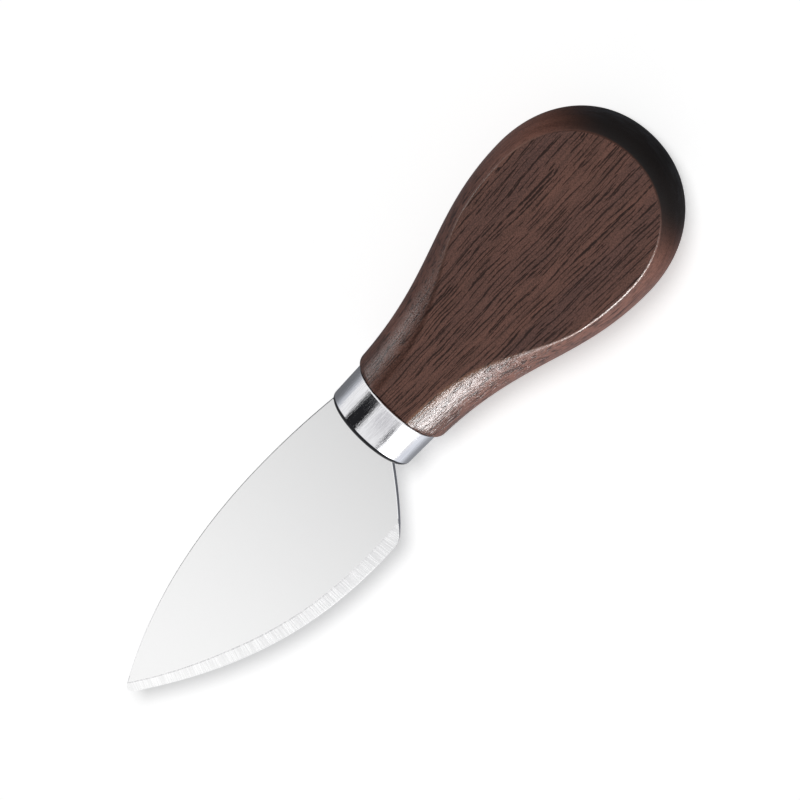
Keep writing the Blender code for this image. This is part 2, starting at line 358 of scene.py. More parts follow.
# %% Loft the handle
def make_handle():
    neck_half_width = ferrule_rear_radius + neck_proud
    sections = [
        round_section(-spigot_length, ferrule_front_radius - ferrule_wall - fit_gap),
        round_section(0.0, ferrule_rear_radius - ferrule_wall - fit_gap),
    ]
    sections += shoulder_sections(neck_half_width) + paddle_sections(neck_half_width)
    shape = bmesh.new()
    rings = [[shape.verts.new(point) for point in section] for section in sections]
    for ring, next_ring in zip(rings, rings[1:]):
        for index in range(len(ring) - 1):
            corners = (ring[index], ring[index + 1], next_ring[index + 1], next_ring[index])
            shape.faces.new(corners)
    shape.faces.new(reversed(rings[0]))
    bmesh.ops.remove_doubles(shape, verts=shape.verts, dist=weld_distance)
    bmesh.ops.dissolve_degenerate(shape, edges=shape.edges, dist=weld_distance)
    half = add_object("walnut_paddle", mesh_from("walnut_paddle", shape))
    mirror = half.modifiers.new("other_half", "MIRROR")
    mirror.use_axis = (False, True, False)
    mirror.merge_threshold = 1e-5
    made = cut_away(half, [tang_slot()])
    finish_shape(made, smooth_up_to=35)
    return made


walnut_paddle = make_handle()

# %% [markdown]
# ## The ferrule
#
# The real one is a shallow cup, drawn from steel sheet and polished as it turns. A half
# section that is turned round the axis gives exactly such a form. The Screw modifier does it,
# and a Boolean then opens the slot that the tang goes through.

# %% Turn the ferrule
turned_steps = 256
lip_steps = 8
corner_steps = 16


def ferrule_profile():
    """Half section of the cup: X is the radius, and Z runs from the open rear to the front."""
    taper = (ferrule_rear_radius - ferrule_front_radius) / ferrule_length
    wall_angle = math.atan(taper)
    corner_z = ferrule_length - ferrule_corner
    corner_x = ferrule_rear_radius - taper * corner_z - ferrule_corner / math.cos(wall_angle)
    profile = [(0.0, ferrule_length)]
    for step in range(corner_steps + 1):
        angle = math.pi / 2 + (wall_angle - math.pi / 2) * step / corner_steps
        reach = (ferrule_corner * math.cos(angle), ferrule_corner * math.sin(angle))
        profile.append((corner_x + reach[0], corner_z + reach[1]))
    for step in range(lip_steps + 1):
        angle = -math.pi / 2 * step / lip_steps
        x = ferrule_rear_radius - ferrule_lip * (1 - math.cos(angle))
        profile.append((x, ferrule_lip * (1 + math.sin(angle))))
    profile.append((ferrule_rear_radius - ferrule_wall, 0.0))
    profile.append((ferrule_front_radius - ferrule_wall, ferrule_length - ferrule_wall))
    profile.append((0.0, ferrule_length - ferrule_wall))
    return profile


def make_ferrule():
    shape = bmesh.new()
    points = [shape.verts.new((x, 0.0, z)) for x, z in ferrule_profile()]
    for first, second in zip(points, points[1:]):
        shape.edges.new((first, second))
    half = add_object("drawn_ferrule", mesh_from("drawn_ferrule", shape))
    turn = half.modifiers.new("turned", "SCREW")
    turn.steps = turned_steps
    turn.render_steps = turned_steps
    turn.use_merge_vertices = True
    turn.merge_threshold = 1e-5
    solid = mesh_object_from(half)
    solid.data.transform(Matrix.Rotation(-math.pi / 2, 4, "Y"))
    solid.data.transform(Matrix.Translation((-seam_gap, 0.0, 0.0)))
    made = cut_away(solid, [tang_slot()])
    finish_shape(made, smooth_up_to=35)
    return made


drawn_ferrule = make_ferrule()

# %% [markdown]
# ## The blade
#
# A press stamps the blade and its tang out of sheet, which leaves a square edge with a hardly
# visible rounding. A wheel then grinds a band along the cutting edge, on both faces. The same
# steps are taken here: the outline is a filled 2D curve with a small bevel, and a wedge that
# is swept along the cutting edge takes the band away.

# %% Outline of the blade
curve_steps = 120


def belly_line(heel, tip, steps):
    """The cutting edge, from where the heel's rounding ends to where the tip's begins."""
    leaving = toward(180 + heel_fall)
    return curve_between(heel[-1], leaving, tip[-1], toward(-belly_rise), belly_fullness, steps)


def heel_rounding():
    corner = Vector((shoulder_x - heel_setback, -heel_depth, 0.0))
    return fillet(corner, toward(flank_at_heel), toward(180 + heel_fall), heel_radius)


def tip_rounding():
    """The tip's arc. Its corner is placed so that the arc itself ends at the blade's length."""
    half_angle = math.radians(spine_fall + belly_rise) / 2
    lean = math.radians(belly_rise - spine_fall) / 2
    overhang = tip_radius * (math.cos(lean) / math.sin(half_angle) - 1)
    corner = Vector((tip_x - overhang, -tip_drop, 0.0))
    return fillet(corner, toward(spine_fall), toward(-belly_rise), tip_radius)


def blade_outline():
    """Anticlockwise outline of blade and tang, from the shoulder's spine side."""
    spine_root = Vector((shoulder_x, ferrule_front_radius - spine_inset, 0.0))
    edge_root = Vector((shoulder_x, edge_inset - ferrule_front_radius, 0.0))
    tip = tip_rounding()
    heel = heel_rounding()
    leaving = toward(180 - spine_rise)
    spine = curve_between(
        spine_root, leaving, tip[0], toward(spine_fall), spine_fullness, curve_steps
    )
    leaving = toward(flank_at_heel)
    arriving = toward(180 + flank_at_root)
    flank = curve_between(heel[0], leaving, edge_root, arriving, flank_fullness, curve_steps // 4)
    belly = belly_line(heel, tip, curve_steps)
    belly.reverse()
    heel.reverse()
    tang = [
        Vector((shoulder_x, -tang_width / 2, 0.0)),
        Vector((tang_end, -tang_width / 2, 0.0)),
        Vector((tang_end, tang_width / 2, 0.0)),
        Vector((shoulder_x, tang_width / 2, 0.0)),
    ]
    return spine + tip[1:] + belly[1:] + heel[1:] + flank[1:] + tang


# %% Grind the band
def grind_cutter(name, side):
    """A wedge swept along the cutting edge. Near the tip it is steeper, so the band narrows."""
    rise = blade_half_thickness - edge_land / 2
    slope = rise / grind_width
    margin = edge_land / 2 / slope
    outer_height = edge_land / 2 - margin * slope
    inner_height = blade_half_thickness + margin * slope
    corners = [
        (-margin, side * outer_height, 0.0),
        (grind_width + margin, side * inner_height, 0.0),
        (-margin, side * inner_height, 0.0),
    ]
    wedge = poly_curve(name + "_section", corners, "2D", cyclic=True)
    heel = heel_rounding()
    tip = tip_rounding()
    halfway = belly_line(heel, tip, 2 * curve_steps)[1::2]
    before = heel[-1] - toward(180 + heel_fall) * (heel_setback / 2 + heel_radius)
    after = tip[-1] - toward(-belly_rise) * (grind_width * 2 + tip_radius)
    path = poly_curve(name, [before] + halfway + [after], "3D")
    path.data.twist_mode = "Z_UP"
    steepening = math.atan(rise / tip_grind_width) - math.atan(slope)
    for place in path.data.splines[0].points:
        from_tip = (place.co.xyz - tip[-1]).length
        place.tilt = -side * steepening * (1 - smooth_share(from_tip, 0.0, grind_narrowing))
    path.data.bevel_mode = "OBJECT"
    path.data.bevel_object = wedge
    path.data.use_fill_caps = True
    cutter = mesh_object_from(path)
    bpy.data.objects.remove(wedge, do_unlink=True)
    return cutter


def make_blade():
    outline = poly_curve("leaf_blade", blade_outline(), "2D", cyclic=True)
    outline.data.fill_mode = "BOTH"
    outline.data.extrude = blade_half_thickness - rim_radius
    outline.data.bevel_depth = rim_radius
    outline.data.bevel_resolution = 1
    outline.data.offset = -rim_radius
    stamped = mesh_object_from(outline)
    made = cut_away(stamped, [grind_cutter("upper_grind", 1), grind_cutter("lower_grind", -1)])
    finish_shape(made, smooth_up_to=12)
    return made


leaf_blade = make_blade()

# %% [markdown]
# The grinding lines and the brightness of the band follow the cutting edge, which no axis does.
# So each point of the blade keeps how far along the cutting edge it lies. The samples start
# before the heel, since the band does too.

# %% Measure along the cutting edge
edge_samples = 600
lead_in_samples = 60
lead_in_length = heel_radius * 2


def mark_edge_distance(blade):
    """Stores on each point how far along the cutting edge it lies, from the heel, in metres."""
    heel = heel_rounding()
    leaving = toward(180 + heel_fall)
    before = [lead_in_length * step / lead_in_samples for step in range(lead_in_samples, 0, -1)]
    samples = [heel[-1] - leaving * distance for distance in before]
    samples += belly_line(heel, tip_rounding(), edge_samples)
    nearest = KDTree(len(samples))
    lengths = [-lead_in_length]
    for index, point in enumerate(samples):
        nearest.insert(point, index)
        if index:
            lengths.append(lengths[-1] + (point - samples[index - 1]).length)
    nearest.balance()
    along = blade.data.attributes.new("along_edge", "FLOAT", "POINT")
    flat_points = [Vector((point.co.x, point.co.y, 0.0)) for point in blade.data.vertices]
    along.data.foreach_set("value", [lengths[nearest.find(point)[1]] for point in flat_points])
    print("cutting edge, mm:", round(1000 * lengths[-1], 1))
    return nearest


edge_finder = mark_edge_distance(leaf_blade)

# %% [markdown]
# ## Shader maths as Python
#
# Node trees grow long when every sum is a node that is placed by hand. One small class wraps
# an output socket, and Python's operators on it add the Math nodes. Any other node comes from
# its method `node`, which takes the type, the settings and the sockets' values or links.

# %% The socket class
class Socket:
    def __init__(self, tree, output):
        self.tree = tree
        self.output = output

    def node(self, kind, settings, sockets, result=0):
        """Adds a node, first with its settings and then its sockets, and returns one output."""
        made = self.tree.nodes.new(kind)
        for name, value in settings.items():
            setattr(made, name, value)
        for key, value in sockets.items():
            if isinstance(value, Socket):
                self.tree.links.new(value.output, made.inputs[key])
            else:
                made.inputs[key].default_value = value
        return Socket(self.tree, made.outputs[result])

    def outputs(self, names):
        """Outputs of the node that this value comes from."""
        return [Socket(self.tree, self.output.node.outputs[name]) for name in names]

    def math(self, operation, *others):
        """A Math node on this value and the others."""
        sockets = dict(enumerate((self, *others)))
        return self.node("ShaderNodeMath", {"operation": operation}, sockets)

    def __add__(self, other):
        return self.math("ADD", other)

    def __sub__(self, other):
        return self.math("SUBTRACT", other)

    def __rsub__(self, other):
        return self.node("ShaderNodeMath", {"operation": "SUBTRACT"}, {0: other, 1: self})

    def __mul__(self, other):
        return self.math("MULTIPLY", other)

    def __truediv__(self, other):
        return self.math("DIVIDE", other)

    def __abs__(self):
        return self.math("ABSOLUTE")

    __radd__ = __add__
    __rmul__ = __mul__

    def rise(self, low, high):
        """0 below low, 1 above high and smooth between them. low may be the larger one."""
        if low > high:
            return 1 - self.rise(high, low)
        sockets = {"Value": self, "From Min": low, "From Max": high}
        return self.node("ShaderNodeMapRange", {"interpolation_type": "SMOOTHSTEP"}, sockets)

    def split(self):
        """The three numbers of a place or a direction."""
        return self.node("ShaderNodeSeparateXYZ", {}, {0: self}).outputs(range(3))

    def facing(self):
        """The surface's direction, as three numbers from -1 to 1."""
        return self.node("ShaderNodeNewGeometry", {}, {}, "Normal").split()

    def stretch(self, x, y, z):
        """Multiplies a place by one number along each axis."""
        return self.node("ShaderNodeVectorMath", {"operation": "MULTIPLY"}, {0: self, 1: (x, y, z)})

    def noise(self, detail=2.0, roughness=0.5):
        """Smooth noise, mostly from 0.3 to 0.7, with about one lump to each unit of length."""
        sockets = {"Vector": self, "Scale": 1.0, "Detail": detail, "Roughness": roughness}
        return self.node("ShaderNodeTexNoise", {}, sockets)

    def blend(self, first, second):
        """A colour between first and second, with this value as the factor."""
        first, second = [c if isinstance(c, Socket) else (*c, 1.0) for c in (first, second)]
        return self.node("ShaderNodeMix", {"data_type": "RGBA"}, {0: self, 6: first, 7: second}, 2)


# %% Helpers for a finish
def new_finish(name, metallic):
    """A material, its shader and the place in millimetres, from the object's own origin."""
    made = bpy.data.materials.new(name)
    made.use_nodes = True
    tree = made.node_tree
    shader = tree.nodes["Principled BSDF"]
    shader.inputs["Metallic"].default_value = metallic
    metres = Socket(tree, None).node("ShaderNodeTexCoord", {}, {}, "Object")
    return made, shader, metres.stretch(1000.0, 1000.0, 1000.0)


def place_from(x, y, z):
    return x.node("ShaderNodeCombineXYZ", {}, {0: x, 1: y, 2: z})


def feed(shader, name, value):
    """Links a value to a socket of the shader."""
    shader.id_data.links.new(value.output, shader.inputs[name])


def feed_relief(shader, height, strength, depth):
    """Fine relief, in which a height of 1 stands up by the depth, in metres."""
    sockets = {"Strength": strength, "Distance": depth, "Height": height}
    feed(shader, "Normal", height.node("ShaderNodeBump", {}, sockets))


# %% [markdown]
# ## Walnut
#
# Walnut is dark brown heartwood with soft bands from its years of growth, and with pores: long
# vessels that a flat cut opens as fine dark strokes. A picture of wood would smear at the
# sides, so the wood is made in the mass, from noise in three dimensions that is stretched along
# the grain. Plain noise gives blotches in place of the strokes, which lie at nearly even
# distances on the real flats, so there they are parts of many even lines that bend, swell and
# die away.

# %% Pores of the walnut
def strokes(grain, length, spacing, width):
    """1 inside fine dark strokes along the grain, 0 between them. Sizes are in millimetres.

    A first noise bends the even lines. A second one lets each line swell and die away along
    its length, and a third one breaks it into beads."""
    across, depth = grain.split()[1:]
    bend = grain.stretch(0.3 / length, 0.35 / spacing, 0.35 / spacing).noise(2.0)
    lines = (across + depth * 0.5) / spacing + bend * 1.7
    off_line = abs(lines.math("FRACT") - 0.5) * spacing
    swell = grain.stretch(1 / length, 1.1 / spacing, 1.1 / spacing).noise(1.0).rise(0.38, 0.58)
    beads = grain.stretch(1.1, 1.5 / spacing, 1.5 / spacing).noise(1.0).rise(0.30, 0.60)
    return (swell * (0.50 + beads * 0.50) * width - off_line).rise(0.0, width * 0.38)


def pores_on_flats(grain):
    """Long strokes with short finer ones between them, a little stronger where they crowd."""
    crowd = grain.stretch(0.03, 0.4, 0.3).noise(2.0).rise(0.34, 0.58)
    long_pores = strokes(grain, length=9.0, spacing=0.80, width=0.130)
    short_pores = strokes(grain, length=4.5, spacing=0.54, width=0.110)
    return long_pores.math("MAXIMUM", short_pores) * (0.88 + crowd * 0.12)


def pores_on_sides(grain, x):
    """Short strokes in the mass of the wood, for the sides, where even lines would smear.

    They fade towards the butt."""
    vessels = grain.stretch(0.25, 3.4, 3.4).noise(1.0).rise(0.54, 0.61)
    return vessels * (1 - x.rise(36.0, 50.0) * 0.75)


# %% Grain of the walnut
grain_fan = 0.0062


def board_grain(place):
    """The place in the board, in millimetres: along, across and through its thickness.

    The grain fans out towards the butt. It wanders slowly and wobbles a little."""
    x, y, z = place.split()
    wander = place.stretch(0.045, 0.09, 0.09).noise(2.0) - 0.5
    wobble = place.stretch(0.16, 0.4, 0.4).noise(1.0) - 0.5
    across = y / (1 + x * grain_fan) + wander * 1.6 + wobble * 0.12
    return place_from(x, across, z + wobble * 0.6)


def off_the_flats(place):
    """0 on the two flats, and 1 once the side has turned away from them."""
    return abs(place.facing()[2]).rise(0.995, 0.94)


# %% [markdown]
# The colour is laid on in steps: the wood as it was sawn, with redder layers where the sides cut through it,
# then a painted amber sheen and painted shade in the creases along the neck, then the flecks and pores. Last
# comes a pale rim past the flat, partly wear from sanding and hands and partly a painted sheen, painted shade
# on the spine's side, and a nearly black butt, partly darker end grain and partly painted shade. Each step is a
# short function with its own colours, so that one of them can be changed without the others.

# %% The sawn wood
dark_fibre = (0.075, 0.038, 0.029)
pale_fibre = (0.127, 0.061, 0.046)
growth_band = (0.047, 0.028, 0.027)
red_side = (0.200, 0.088, 0.064)
dark_layer = (0.050, 0.021, 0.016)


def sawn_wood(place, grain):
    """Fibres and growth bands, and on the sides redder wood with layers that run round it."""
    x = place.split()[0]
    ring = grain.stretch(0.014, 0.17, 0.13).noise(3.0, 0.55).rise(0.42, 0.70)
    fibre = grain.stretch(0.10, 2.0, 2.0).noise(3.0, 0.65).rise(0.32, 0.68)
    color = fibre.blend(dark_fibre, pale_fibre)
    color = (ring * 0.52).blend(color, growth_band)
    side = abs(place.facing()[2]).rise(0.97, 0.75) * x.rise(2.0, 12.0)
    layers = place.stretch(0.04, 0.04, 1.4).noise(3.0, 0.6).rise(0.44, 0.58) * x.rise(22.0, 40.0)
    color = (side * 0.48).blend(color, red_side)
    return (side * layers * 0.42).blend(color, dark_layer)


# %% Creases and flecks
painted_amber_sheen = (0.200, 0.092, 0.040)
painted_crease_shade = (0.030, 0.012, 0.008)
pale_fleck = (0.170, 0.078, 0.060)
dark_fleck = (0.030, 0.012, 0.009)


def paint_crease_sheen_and_shade(color, place):
    """Along the neck, a painted amber sheen on the cutting edge's side and painted shade on the spine's side.
    """
    x, y = place.split()[:2]
    upright = abs(place.facing()[2])
    # Painted sheen and painted shade in the neck's crease.
    crease = upright.rise(0.9995, 0.985) * upright.rise(0.88, 0.95) * x.rise(34.0, 14.0)
    color = (crease * y.rise(0.0, -3.0) * 0.45).blend(color, painted_amber_sheen)
    return (crease * y.rise(0.0, 3.0) * 0.50).blend(color, painted_crease_shade)


def add_flecks(color, speckle):
    color = (speckle.rise(0.45, 0.62) * 0.34).blend(color, pale_fleck)
    return (speckle.rise(0.50, 0.38) * 0.34).blend(color, dark_fleck)


# %% Wear, painted sheen and painted shade
pale_rim_wear_and_sheen = (0.240, 0.140, 0.110)
shaded_spine_side = (0.010, 0.001, 0.0)
painted_shade_at_flat_end = (0.030, 0.011, 0.006)
end_grain_and_painted_shade = (0.011, 0.010, 0.010)
end_grain_arcs = (0.026, 0.028, 0.032)


def rim_wear_sheen_and_shade(color, place):
    """Pale just past the rim of the flat, most on the cutting edge's side: partly wear, partly a painted sheen.

    The side towards the spine gets a little painted shade, so it is darker than the other one."""
    x, y = place.split()[:2]
    upright = abs(place.facing()[2])
    # Pale rim: partly wear, partly painted sheen.
    worn_and_sheen_rim = upright.rise(0.62, 0.80) * upright.rise(0.995, 0.96) * x.rise(14.0, 30.0)
    worn_and_sheen_rim = worn_and_sheen_rim * x.rise(54.0, 46.0) * (0.30 + y.rise(-6.0, -10.0) * 0.24)
    color = worn_and_sheen_rim.blend(color, pale_rim_wear_and_sheen)
    # Painted shade on the spine's side.
    spine_side = off_the_flats(place) * y.rise(2.0, 5.0) * x.rise(8.0, 16.0) * x.rise(46.0, 34.0)
    return (spine_side * 0.24).blend(color, shaded_spine_side)


def butt_end_grain_and_shade(color, place, grain):
    """Painted shade round the end of the flat, and nearly black at the butt: darker end grain and painted
    shade.
    """
    x, y, z = place.split()
    facing_x, facing_y, facing_z = place.facing()
    # Painted shade round the end of the flat.
    shade_at_flat_end = abs(facing_z).rise(0.9998, 0.97) * x.rise(48.0, 58.0)
    color = (shade_at_flat_end * 0.72).blend(color, painted_shade_at_flat_end)
    arcs = grain.stretch(0.15, 0.30, 1.1).noise(3.0, 0.6).rise(0.44, 0.60) * z.rise(5.0, 0.0)
    # Nearly black butt: darker end grain and painted shade.
    butt = (facing_x - facing_y * 0.15).rise(0.28, 0.80) * x.rise(30.0, 50.0)
    return (butt * 0.97).blend(color, (arcs * 0.8).blend(end_grain_and_painted_shade, end_grain_arcs))


# %% Lacquered walnut
open_pore = (0.016, 0.006, 0.004)
lacquer_gloss = 0.12
walnut_relief = 0.00016


def make_walnut():
    made, shader, place = new_finish("walnut", 0.0)
    x, y = place.split()[:2]
    grain = board_grain(place)
    speckle = place.stretch(3.2, 4.8, 4.8).noise(2.0, 0.6)
    curved = off_the_flats(place)
    side_pores = pores_on_sides(grain, x) * curved
    pores = pores_on_flats(grain) * (1 - curved) + side_pores * 0.85
    color = add_flecks(paint_crease_sheen_and_shade(sawn_wood(place, grain), place), speckle)
    color = rim_wear_sheen_and_shade(pores.blend(color, open_pore), place)
    feed(shader, "Base Color", butt_end_grain_and_shade(color, place, grain))
    feed(shader, "Roughness", 0.25 + speckle * 0.10)
    swirl = grain.stretch(0.55, 1.5, 1.5).noise(2.0, 0.6)
    neck_side = curved * y.rise(-2.0, -6.0) * x.rise(30.0, 18.0)
    height = speckle * (0.3 + curved * 0.1) + swirl * neck_side * 0.45
    feed_relief(shader, height - side_pores * neck_side * 0.25, 0.9, walnut_relief)
    shader.inputs["Specular IOR Level"].default_value = lacquer_gloss
    print("walnut:", len(made.node_tree.nodes), "nodes")
    return made


def dress(piece, finishes):
    """Gives the piece its finishes, which its faces pick by number, from 0."""
    piece.data.materials.clear()
    for finish in finishes:
        piece.data.materials.append(finish)
    print(piece.name, "wears", [finish.name for finish in finishes])


dress(walnut_paddle, [make_walnut()])

# %% [markdown]
# ## Steel
#
# The blade's flats are satin: evenly dull, with a hardly visible grain. Their colour carries a painted
# reflection, darker near the ferrule and lighter towards the tip, and a painted highlight on the rounding at
# the rim. The wheel left fine lines across the ground band, a faint border above it and a bright stretch at the
# cutting edge. The sheared edge is rougher and darker. One material with masks could show all this, but its
# masks would blur at the sharp borders between the faces. So each of the three is a material of its own, given
# to the faces that the tool in question made.

# %% Satin flats
satin_painted_dark_at_root = (0.648, 0.648, 0.652)
satin_painted_light_at_tip = (0.93, 0.93, 0.93)
painted_rim_highlight = (0.99, 0.99, 0.99)
steel_relief = 0.00001


def make_satin():
    made, shader, place = new_finish("satin_steel", 1.0)
    cloud = place.stretch(0.08, 0.08, 0.08).noise(2.0)
    grain = place.stretch(0.6, 14.0, 14.0).noise(2.0)
    # Painted reflection: darker near the ferrule, lighter towards the tip.
    painted_reflection_to_tip = place.split()[0].rise(15.0, -66.0)
    color = (painted_reflection_to_tip * 0.97 + cloud * 0.03).blend(satin_painted_dark_at_root, satin_painted_light_at_tip)
    # Painted highlight on the rounding at the rim.
    rim = abs(place.facing()[2]).rise(0.995, 0.97)
    feed(shader, "Base Color", (rim * 0.9).blend(color, painted_rim_highlight))
    feed(shader, "Roughness", 0.20 + grain * 0.06 + cloud * 0.04)
    feed_relief(shader, grain, 0.05, steel_relief)
    return made


# %% Ground band
ground_shade = (0.675, 0.675, 0.682)
ground_light = (0.975, 0.975, 0.975)
border_grey = (0.42, 0.42, 0.43)


def ground_color(place, along, height, lines):
    """Brighter towards the tip. The height is 0 at the cutting edge's middle, 1 at the flat."""
    patches = place_from(along * 0.5, height * 0.8, 4.0).noise(1.0).rise(0.35, 0.65)
    whetted = height.rise(0.20, 0.15) * along.rise(1.0, 6.0) * along.rise(30.0, 14.0)
    # The rise along the edge is a painted reflection, brighter towards the tip.
    bright = lines * (0.14 + patches * 0.12) + along.rise(4.0, 50.0) * 0.70 + whetted * 0.40
    dots = place.stretch(4.0, 4.0, 4.0).noise(1.0).rise(0.35, 0.6)
    border = height.rise(0.88, 0.93) * (0.3 + dots * 0.7) * (0.35 + along.rise(4.0, 24.0) * 0.65)
    return (border * 0.55).blend(bright.blend(ground_shade, ground_light), border_grey)


def make_ground():
    made, shader, place = new_finish("ground_steel", 1.0)
    stored = {"attribute_name": "along_edge", "attribute_type": "GEOMETRY"}
    along = place.node("ShaderNodeAttribute", stored, {}, "Fac") * 1000
    height = abs(place.split()[2]) / (1000 * blade_half_thickness)
    lines = place_from(along * 4.6, height * 0.4, 0.0).noise(0.0).rise(0.30, 0.70)
    feed(shader, "Base Color", ground_color(place, along, height, lines))
    feed(shader, "Roughness", 0.22 + lines * 0.06)
    feed_relief(shader, lines, 0.10, steel_relief)
    return made


# %% Sheared edge
sheared_dark = (0.17, 0.17, 0.19)
sheared_light = (0.32, 0.32, 0.35)
sheared_relief = 0.00003


def make_sheared():
    made, shader, place = new_finish("sheared_steel", 1.0)
    streak = place.stretch(5.0, 5.0, 1.2).noise(3.0)
    feed(shader, "Base Color", streak.blend(sheared_dark, sheared_light))
    feed(shader, "Roughness", 0.30 + streak * 0.15)
    feed_relief(shader, streak, 0.2, sheared_relief)
    return made


# %% [markdown]
# Which tool made a face of the blade shows in how far it points up, from 0 for a wall to 1 for
# a flat, and in how near the cutting edge it lies. Those limits come first in the next cell.

# %% Give each face of the blade its finish
flat_from = 0.995
ground_from = 0.85
rim_from = 0.3
band_reach = grind_width * 1.2


def dress_blade(blade):
    """The flats and their rim are satin, the sloping faces near the cutting edge are ground."""
    dress(blade, [make_satin(), make_ground(), make_sheared()])
    counts = [0, 0, 0]
    for face in blade.data.polygons:
        middle = Vector((face.center.x, face.center.y, 0.0))
        near_edge = edge_finder.find(middle)[2] < band_reach
        upright = abs(face.normal.z)
        if upright > flat_from or not near_edge and upright > rim_from:
            face.material_index = 0
        elif upright > ground_from and near_edge:
            face.material_index = 1
        else:
            face.material_index = 2
        counts[face.material_index] += 1
    print("faces, satin, ground and sheared:", counts)


dress_blade(leaf_blade)

# %% [markdown]
# ## The polished ferrule
#
# A polished ring mirrors what stands round it, so its look is mostly the studio's. Fine lines from the
# polishing felt run along it and fray the borders of what it mirrors. Towards the wood the felt didn't reach,
# and the steel is duller. The rounding at the front mirrors the dark room, which isn't built here, so that
# rounding gets a painted dark reflection in its colour.

# %% Ferrule finish
polished_shade = (0.72, 0.72, 0.74)
polished_light = (0.88, 0.88, 0.90)
painted_dark_reflection = (0.010, 0.010, 0.012)
felt_relief = 0.00003


def make_polished():
    made, shader, place = new_finish("polished_steel", 1.0)
    streaks = place.stretch(0.3, 6.0, 6.0).noise(3.0, 0.65)
    rubs = streaks.rise(0.35, 0.65)
    unpolished = place.split()[0].rise(-5.0, -0.5)
    color = (rubs * 0.6 + unpolished * 0.2).blend(polished_shade, polished_light)
    # Painted dark reflection on the front rounding.
    facing_x = place.facing()[0]
    corner = facing_x.rise(-0.03, -0.17) * facing_x.rise(-0.995, -0.93)
    feed(shader, "Base Color", (corner * 0.99).blend(color, painted_dark_reflection))
    feed(shader, "Roughness", 0.03 + rubs * 0.04 + unpolished * 0.12)
    feed_relief(shader, streaks, 0.5, felt_relief)
    return made


dress(drawn_ferrule, [make_polished()])

# %% [markdown]
# ## Camera
#
# The photograph looks almost straight down. The knife lies across it, from the lower left to
# the upper right, and the camera leans a little towards the butt, so that the butt's side
# shows. A long lens from two metres away keeps the outline nearly parallel, as in the picture.
# The camera comes before the light, because the cards for the ferrule are placed by its lean.

# %% Camera
picture_width = 800
metres_per_pixel = 0.000162
sensor_width = 36.0
camera_distance = 2.0
camera_lean = math.radians(16.5)
knife_turn = math.radians(46.15)
aimed_beside_joint = Vector((-0.0001, -0.0002, 0.0))


def add_to_studio(name, data):
    """Adds what isn't a piece of the knife, such as a lamp or a card."""
    made = bpy.data.objects.new(name, data)
    bpy.context.scene.collection.objects.link(made)
    return made


def make_camera():
    back = Vector((math.sin(camera_lean), 0.0, math.cos(camera_lean)))
    toward_butt = Vector((math.cos(camera_lean), 0.0, -math.sin(camera_lean)))
    toward_spine = Vector((0.0, 1.0, 0.0))
    right = toward_butt * math.cos(knife_turn) - toward_spine * math.sin(knife_turn)
    up = toward_butt * math.sin(knife_turn) + toward_spine * math.cos(knife_turn)
    data = bpy.data.cameras.new("camera")
    data.sensor_width = sensor_width
    data.lens = sensor_width * camera_distance / metres_per_pixel / picture_width
    data.clip_start = camera_distance / 20
    data.clip_end = camera_distance * 10
    camera = add_to_studio("camera", data)
    turn = Matrix((right, up, back)).transposed().to_4x4()
    place = on_axis + aimed_beside_joint + back * camera_distance
    camera.matrix_world = Matrix.Translation(place) @ turn
    bpy.context.scene.camera = camera
    print("lens, mm:", round(data.lens, 1))


make_camera()
bpy.context.scene.view_settings.view_transform = "Standard"

# %% [markdown]
# ## Floor and backdrop
#
# The floor is white paper. Its colour under the lamps makes about half of the white, and an
# emission that only the camera and mirroring surfaces see adds the rest, so that the knife's
# shadow stays. Other rays see darker paper, so that it doesn't flood the wood with light.

# %% Floor
floor_half_width = 4.0
paper_white = (0.94, 0.94, 0.94)
paper_as_light = (0.25, 0.25, 0.25)
paper_lift = 0.47


def seen_directly(tree):
    """1 for rays from the camera and those mirrored or let through, and 0 for others."""
    names = ("Is Camera Ray", "Is Glossy Ray", "Is Transmission Ray")
    camera, glossy, through = Socket(tree, None).node("ShaderNodeLightPath", {}, {}).outputs(names)
    return (camera + glossy + through).math("MINIMUM", 1.0)


def new_glow(name, strength):
    """A finish without gloss, with an emission that isn't counted as a lamp."""
    made, shader, place = new_finish(name, 0.0)
    made.cycles.emission_sampling = "NONE"
    shader.inputs["Specular IOR Level"].default_value = 0.0
    shader.inputs["Emission Strength"].default_value = strength
    return made, shader, place


def make_floor():
    shape = bmesh.new()
    bmesh.ops.create_grid(shape, x_segments=1, y_segments=1, size=floor_half_width)
    made = add_to_studio("table", mesh_from("table", shape))
    paper, shader = new_glow("white_paper", paper_lift)[:2]
    shader.inputs["Roughness"].default_value = 1.0
    direct = seen_directly(paper.node_tree)
    feed(shader, "Base Color", direct.blend(paper_as_light, paper_white))
    feed(shader, "Emission Color", direct.blend((0.0, 0.0, 0.0), (1.0, 1.0, 1.0)))
    dress(made, [paper])
    made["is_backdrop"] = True
    print("floor, m:", round(made.dimensions.x, 1))


make_floor()

# %% Backdrop
dim_sky = 0.16


def make_backdrop():
    """White for the camera and for mirroring surfaces, and dim for everything else."""
    world = bpy.data.worlds.new("studio")
    world.use_nodes = True
    world.cycles.sampling_method = "NONE"
    background = world.node_tree.nodes["Background"]
    background.inputs["Color"].default_value = (1.0, 1.0, 1.0, 1.0)
    feed(background, "Strength", dim_sky + seen_directly(world.node_tree) * (1 - dim_sky))
    bpy.context.scene.world = world
    print("sky as light:", dim_sky)


make_backdrop()

# %% [markdown]
# ## Light
#
# A wide soft sun from above lights the knife and the table, and gives the short shadow. Low
# lamps would throw long shadows over the table, so they light the knife alone, through light
# linking. In the photograph the steel and the wood show unlike lights, so each has its own. One
# big panel low on the cutting edge's side draws the bright band on the ferrule. Two low suns
# model the wood's rounded sides, and two panels, hidden from diffuse light, show in its lacquer.

